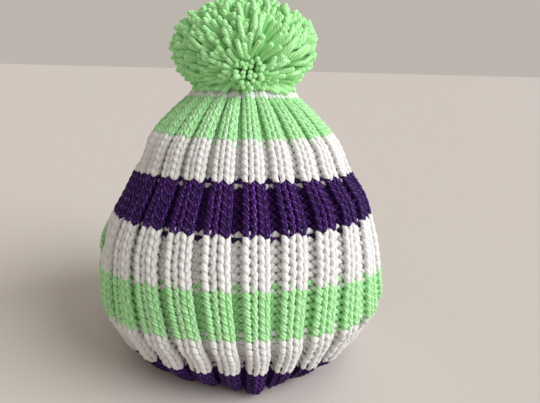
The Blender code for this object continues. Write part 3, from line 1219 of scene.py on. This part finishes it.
@dataclass
class Pompom:
    """Cut strands of yarn tied at their middle and trimmed to an uneven ball, flatter than it is wide."""

    node: str
    crest: Crest
    seed: int = 11
    strands: int = 1560
    skirt_strands: int = 130  # round the foot
    skirt_reach: Range = (0.0255, 0.0300)
    tuft_strands: int = 29  # which point straight out of the front, where the others part
    tuft_radius: float = 0.0087
    tuft_span: Range = (-0.0140, -0.0354)  # where they are tied and where they end, from back to front
    tuft_parting: float = 0.13  # how much of the parting reaches the strands round the tuft at most
    centre: Triple = (0.0003, 0.0, 0.1805)
    radii: Triple = (0.0397, 0.0390, 0.0243)
    underside: float = 0.0290  # the ball's radius downwards
    tilt: float = math.radians(-3)
    tie: Triple = (0.0022, -0.0150, 0.1672)
    tie_in_front: float = -0.0262  # how far forward the strands that end in front are tied
    front_ends: Range = (0.004, 0.030)  # how far forward they end
    front_gaps: float = 0.40  # how many of them are left out, where they would crowd each other
    parting_width: float = math.radians(30)  # where the strands part in front, they are shorter
    parting_depth: float = 0.30  # of their length
    level_samples: int = 400  # of the ball's area, from its foot to its top
    level_shake: float = 0.6  # how far the ends stray from their even places, up or down
    turn_shake: float = 0.9  # and round the ball
    yarn_radius: float = 0.00148
    root_radius: float = 0.00112
    thickness: Range = (0.9, 1.1)  # of a strand, next to the average
    widening: float = 1.15  # how soon along its length a strand reaches its thickness
    steps: int = 5
    sides: int = 6
    even_share: float = 0.60  # of the strands, which reach the ball's surface
    shortest: float = 0.91  # of the way there, for the others
    uneven: float = 0.014  # how much every strand's reach varies besides
    longest: float = 1.03
    combed_share: float = 0.08  # of the strands in front, which lie along the ball over their neighbours
    combed_rise: Range = (0.20, 0.64)  # where along its length such a strand comes up to the surface
    combed_front: float = -0.012  # how far forward the ends of such strands lie at least
    combed_bow: float = 0.02  # how far over the surface they lie
    start_share: float = 0.40  # of the way out from the tie, where the mesh of a strand starts
    tip_reach: Range = (0.45, 0.70)  # in the yarn's radius, how far the two rings of a rounded end stand out
    tip_radius: Range = (0.84, 0.42)  # and how wide they are
    tip_map: Range = (1.01, 1.02)  # and their places on the yarn map, in strand lengths
    spray: float = 0.026  # how much the strands' directions vary
    bend: float = 0.0015  # how far a strand bows at most
    bend_range: Range = (0.2, 1.0)
    over_neck: float = 0.0012  # how far above the neck's surface a strand's middle lies at least
    tile_length: float = 0.0176  # of the yarn map, along the yarn
    core_share: float = 0.83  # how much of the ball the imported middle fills
    core_turns: int = 64
    core_rings: int = 32

    def __post_init__(self) -> None:
        """Lay out the ball's middle and its tilt."""
        self.middle = np.array(self.centre)
        self.tilted = np.array(Matrix.Rotation(self.tilt, 3, "Y"))

    def radii_towards(self, ways: np.ndarray) -> np.ndarray:
        """The ball's three radii in the half where each direction lies."""
        rise = np.where(ways[..., 2] < 0, self.underside, self.radii[2])
        return np.stack([np.full_like(rise, self.radii[0]), np.full_like(rise, self.radii[1]), rise], axis=-1)

    def ball(self, ways: np.ndarray) -> np.ndarray:
        """Where directions from the ball's middle come out of it."""
        return (ways * self.radii_towards(ways)) @ self.tilted.T + self.middle

    def ends(self, random: np.random.Generator) -> tuple[np.ndarray, np.ndarray]:
        """Where the strands end.

        Args:
            random: the source of chance.

        Returns:
            Points spread over the trimmed ball, then round its foot and over the tuft in front, and which of
            them are on the ball.
        """
        ball = self.ball_ends(random)
        turn = np.arange(self.skirt_strands) * math.tau / self.skirt_strands
        reach = random.uniform(*self.skirt_reach, self.skirt_strands)
        foot = np.stack([reach * np.cos(turn), reach * np.sin(turn), self.over(reach)], axis=-1)
        turn = np.arange(self.tuft_strands) * GOLDEN_TURN
        reach = self.tuft_radius * np.sqrt((np.arange(self.tuft_strands) + 0.5) / self.tuft_strands)
        beside, above = self.tie[0] + reach * np.cos(turn), self.tie[2] + reach * np.sin(turn)
        tuft = np.stack([beside, np.full_like(reach, self.tuft_span[1]), above], axis=-1)
        ends = np.concatenate([ball, foot, tuft])
        return ends, np.arange(len(ends)) < len(ball)

    def ball_ends(self, random: np.random.Generator) -> np.ndarray:
        """Points spread evenly over the trimmed ball, with room for the tuft and fewer in front.

        Args:
            random: the source of chance.

        Returns:
            The points.
        """
        heights = np.linspace(-1, 1, self.level_samples)
        rise = np.where(heights < 0, self.underside, self.radii[2])
        area = np.hypot(self.radii[0] * heights, rise * np.sqrt(1 - heights**2))
        spread = np.concatenate([[0.0], np.cumsum((area[1:] + area[:-1]) / 2)])
        share = (np.arange(self.strands) + 0.5) / self.strands
        shake = random.normal(0, 1, (2, self.strands)) / math.sqrt(self.strands)
        level = np.interp(share * spread[-1], spread, heights) + self.level_shake * shake[0]
        level = np.clip(level, -1, 1)
        turn = np.arange(self.strands) * GOLDEN_TURN + self.turn_shake * shake[1]
        flat = np.sqrt(1 - level**2)
        points = self.ball(np.stack([flat * np.cos(turn), flat * np.sin(turn), level], axis=-1))
        spared = random.random(self.strands) > self.front_gaps * self.forward(points)
        return points[spared & (self.parting(points) < self.tuft_parting)]

    def over(self, reach: np.ndarray) -> np.ndarray:
        """The lowest that a strand's middle can lie, this far from the axis."""
        return self.crest.height_over(reach) + self.over_neck

    def seated(self, points: np.ndarray) -> np.ndarray:
        """The same points, brought up to lie on the neck where they would sink into it."""
        level = np.maximum(points[..., 2], self.over(np.hypot(points[..., 0], points[..., 1])))
        return np.stack([points[..., 0], points[..., 1], level], axis=-1)

    def lay(self, random: np.random.Generator, builder: TubeBuilder) -> None:
        """Run every strand from near the tie out to its trimmed end.

        Args:
            random: the source of chance.
            builder: gathers the strands.
        """
        ends, on_ball = self.ends(random)
        count = len(ends)
        tie, ways, length = self.ways(ends, random)
        cross = unit(np.cross(ways, random.normal(0, 1, ways.shape)))
        radius = self.yarn_radius * random.uniform(*self.thickness, count)

        share = np.concatenate([np.linspace(self.start_share, 1.0, self.steps), [1.0, 1.0]])
        bow = self.bend * random.uniform(*self.bend_range, count)
        bow = bow[:, None] * np.sin(math.pi * share)
        centres = tie[:, None] + ways[:, None] * share[:, None]
        centres = centres + cross[:, None] * bow[..., None]
        in_front = on_ball & (ends[:, 1] < self.combed_front) & (ends[:, 2] > self.tie[2])
        combed = in_front & (random.random(count) < self.combed_share)
        centres[combed] = self.combed(centres[combed], share)
        tip = unit(ways)[:, None] * radius[:, None, None]
        centres[:, -2:] += np.array(self.tip_reach)[:, None] * tip
        widened = np.clip(share * self.widening, 0, 1)
        radii = self.root_radius + (radius[:, None] - self.root_radius) * widened
        radii[:, -2:] = radius[:, None] * np.array(self.tip_radius)
        along = np.concatenate([share[:-2], self.tip_map]) * (length / self.tile_length)[:, None]
        along = along + random.random(count)[:, None]
        builder.add(self.seated(centres), np.broadcast_to(cross[:, None], centres.shape), radii, along)

    def ways(
        self, ends: np.ndarray, random: np.random.Generator
    ) -> tuple[np.ndarray, np.ndarray, np.ndarray]:
        """How each strand runs from its tie, before it bows.

        Args:
            ends: where the strands would end if they were all even.
            random: the source of chance.

        Returns:
            Each strand's tie, the straight way from there to its trimmed end, and its length.
        """
        count = len(ends)
        tie, parting = self.tied(ends), self.parting(ends)
        tie[-self.tuft_strands :, 1] = self.tuft_span[0]
        parting[-self.tuft_strands :] = 0.0
        even = random.random(count) < self.even_share
        reach = np.where(even, 1.0, random.uniform(self.shortest, 1.0, count))
        reach = np.minimum(reach + random.normal(0, self.uneven, count), self.longest)
        ways = (ends - tie) * (reach * (1 - self.parting_depth * parting))[:, None]
        length = np.linalg.norm(ways, axis=1)
        ways = ways + random.normal(0, 1, ways.shape) * (self.spray * length)[:, None]
        return tie, unit(ways) * length[:, None], length

    def tied(self, points: np.ndarray) -> np.ndarray:
        """Where the strands are tied.

        Args:
            points: their ends.

        Returns:
            The tie of each, which is further forward for those that end in front.
        """
        ties = np.tile(np.array(self.tie), (len(points), 1))
        ties[:, 1] += (self.tie_in_front - self.tie[1]) * self.forward(points)
        return ties

    def forward(self, points: np.ndarray) -> np.ndarray:
        """1 for points well in front of the ball's middle, and 0 for those behind it."""
        return smooth_step(-points[:, 1], *self.front_ends)

    def parting(self, points: np.ndarray) -> np.ndarray:
        """How far points lie in the parting: 1 straight in front of the tie, and 0 well away from there."""
        angle = np.arccos(np.clip(-unit(points - self.tied(points))[:, 1], -1, 1))
        return np.exp(-((angle / self.parting_width) ** 2))

    def combed(self, centres: np.ndarray, share: np.ndarray) -> np.ndarray:
        """Strands brought up to lie along the ball for the rest of their length.

        Args:
            centres: strands, points along each, and x, y, z.
            share: how far along its strand each point is.

        Returns:
            The points in their new places.
        """
        ways = (centres - self.middle) @ self.tilted
        level = np.linalg.norm(ways / self.radii_towards(ways), axis=-1)
        risen = smooth_step(share, *self.combed_rise) * (1.0 + self.combed_bow * np.sin(math.pi * share))
        return self.middle + (ways * (np.maximum(level, risen) / level)[..., None]) @ self.tilted.T

    def pack(self, builder: TubeBuilder) -> None:
        """Fill the middle, where the strands lie too close together to tell apart.

        Args:
            builder: gathers the ball that fills it.
        """
        turn = np.arange(self.core_turns) * math.tau / self.core_turns
        slope = (np.arange(self.core_rings) + 0.5) / self.core_rings * math.pi
        flat, level = np.sin(slope)[:, None], -np.cos(slope)[:, None] + 0 * turn
        ways = np.stack([flat * np.cos(turn), flat * np.sin(turn), level], axis=-1).reshape(-1, 3)
        points = self.middle + (self.ball(ways) - self.middle) * self.core_share
        tie = self.tied(points)
        points = tie + (points - tie) * (1 - self.parting_depth * self.parting(points))[:, None]
        builder.add_ball(self.seated(points).reshape(self.core_rings, self.core_turns, 3))

    def build(self, wardrobe: Wardrobe) -> list[bpy.types.Object]:
        """Make and dress the pompom.

        Args:
            wardrobe: the finishes.

        Returns:
            The finished piece, alone in its list.
        """
        builder = TubeBuilder(self.sides)
        self.lay(np.random.default_rng(self.seed), builder)
        self.pack(builder)
        ball = builder.build("pompom_strands", wardrobe.strands)
        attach(ball, BODY)
        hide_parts(self.node)
        return [ball]


@dataclass
class Studio:
    """The floor, the light and the camera."""

    floor_size: float = 60.0
    floor_colour: Colour = (0.605, 0.556, 0.524, 1.0)
    floor_roughness: float = 0.9
    floor_specular: float = 0.05
    sky_colour: Colour = (1.0, 0.93, 0.85, 1.0)
    sky_strength: float = 0.50
    sun_from: Triple = (1.08, -0.51, 0.68)
    sun_strength: float = 3.65
    sun_width: float = math.radians(50)
    sun_colour: Triple = (0.96, 0.98, 1.0)
    lens: float = 31.2
    sensor: float = 36.0
    clip: Range = (0.01, 20.0)
    camera_place: Triple = (-0.001, -0.279, 0.170)
    yaw: float = math.radians(3.66)
    pitch: float = math.radians(16.09)
    roll: float = math.radians(1.48)

    def build(self) -> None:
        """Make the floor, the light and the camera."""
        self.floor()
        self.light()
        self.camera()

    def floor(self) -> None:
        """Lay a plain pale floor."""
        deselect_all()
        bpy.ops.mesh.primitive_plane_add(size=self.floor_size)
        floor = bpy.context.object
        floor.name = "floor"
        patch = Patch("plain_floor")
        patch.fill(
            patch.shader,
            {
                "Base Color": self.floor_colour,
                "Roughness": self.floor_roughness,
                "Specular IOR Level": self.floor_specular,
            },
        )
        floor.data.materials.append(patch.material)

    def light(self) -> None:
        """Set up one wide, soft light and a pale surround."""
        world = bpy.data.worlds.new("studio")
        bpy.context.scene.world = world
        world.use_nodes = True
        surround = world.node_tree.nodes["Background"]
        surround.inputs["Color"].default_value = self.sky_colour
        surround.inputs["Strength"].default_value = self.sky_strength
        sun = bpy.data.lights.new("window", "SUN")
        sun.energy, sun.angle, sun.color = self.sun_strength, self.sun_width, self.sun_colour
        holder = bpy.data.objects.new("window", sun)
        holder.rotation_euler = (-Vector(self.sun_from)).to_track_quat("-Z", "Y").to_euler()
        bpy.context.scene.collection.objects.link(holder)

    def camera(self) -> None:
        """Set up the camera, close in front and above, looking down a little."""
        level = math.cos(self.pitch)
        ahead = Vector((math.sin(self.yaw) * level, math.cos(self.yaw) * level, -math.sin(self.pitch)))
        right = ahead.cross(Vector((0, 0, 1))).normalized()
        up = right.cross(ahead)
        across = right * math.cos(self.roll) + up * math.sin(self.roll)
        above = up * math.cos(self.roll) - right * math.sin(self.roll)
        turn = Matrix((across, above, -ahead)).transposed().to_4x4()
        eye = bpy.data.cameras.new("camera")
        eye.lens, eye.sensor_width, eye.sensor_fit = self.lens, self.sensor, "HORIZONTAL"
        eye.clip_start, eye.clip_end = self.clip
        holder = bpy.data.objects.new("camera", eye)
        holder.matrix_world = Matrix.Translation(self.camera_place) @ turn
        bpy.context.scene.collection.objects.link(holder)
        bpy.context.scene.camera = holder


def main() -> None:
    """Build and dress the cosy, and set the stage."""
    logging.basicConfig(level=logging.INFO, format="%(name)s: %(message)s")
    wardrobe = Wardrobe()
    crest = Crest()
    back_tops_at_handle = (0.0080, 0.0500, 0.0745, 0.0975, 0.1155, 0.1350, 0.1534, 0.1588)
    for part in (
        KnittedPanel("front", Side.FRONT, "front_panel", crest, seed=3),
        KnittedPanel("back", Side.BACK, "back_panel", crest, seed=5, tops_at_handle=back_tops_at_handle),
        Pompom("pompom", crest),
    ):
        for piece in part.build(wardrobe):
            LOG.info("%s: %d triangles", piece.name, triangle_count(piece))
    Studio().build()
    bpy.context.scene.view_settings.view_transform = "Standard"


if __name__ == "__main__":
    main()
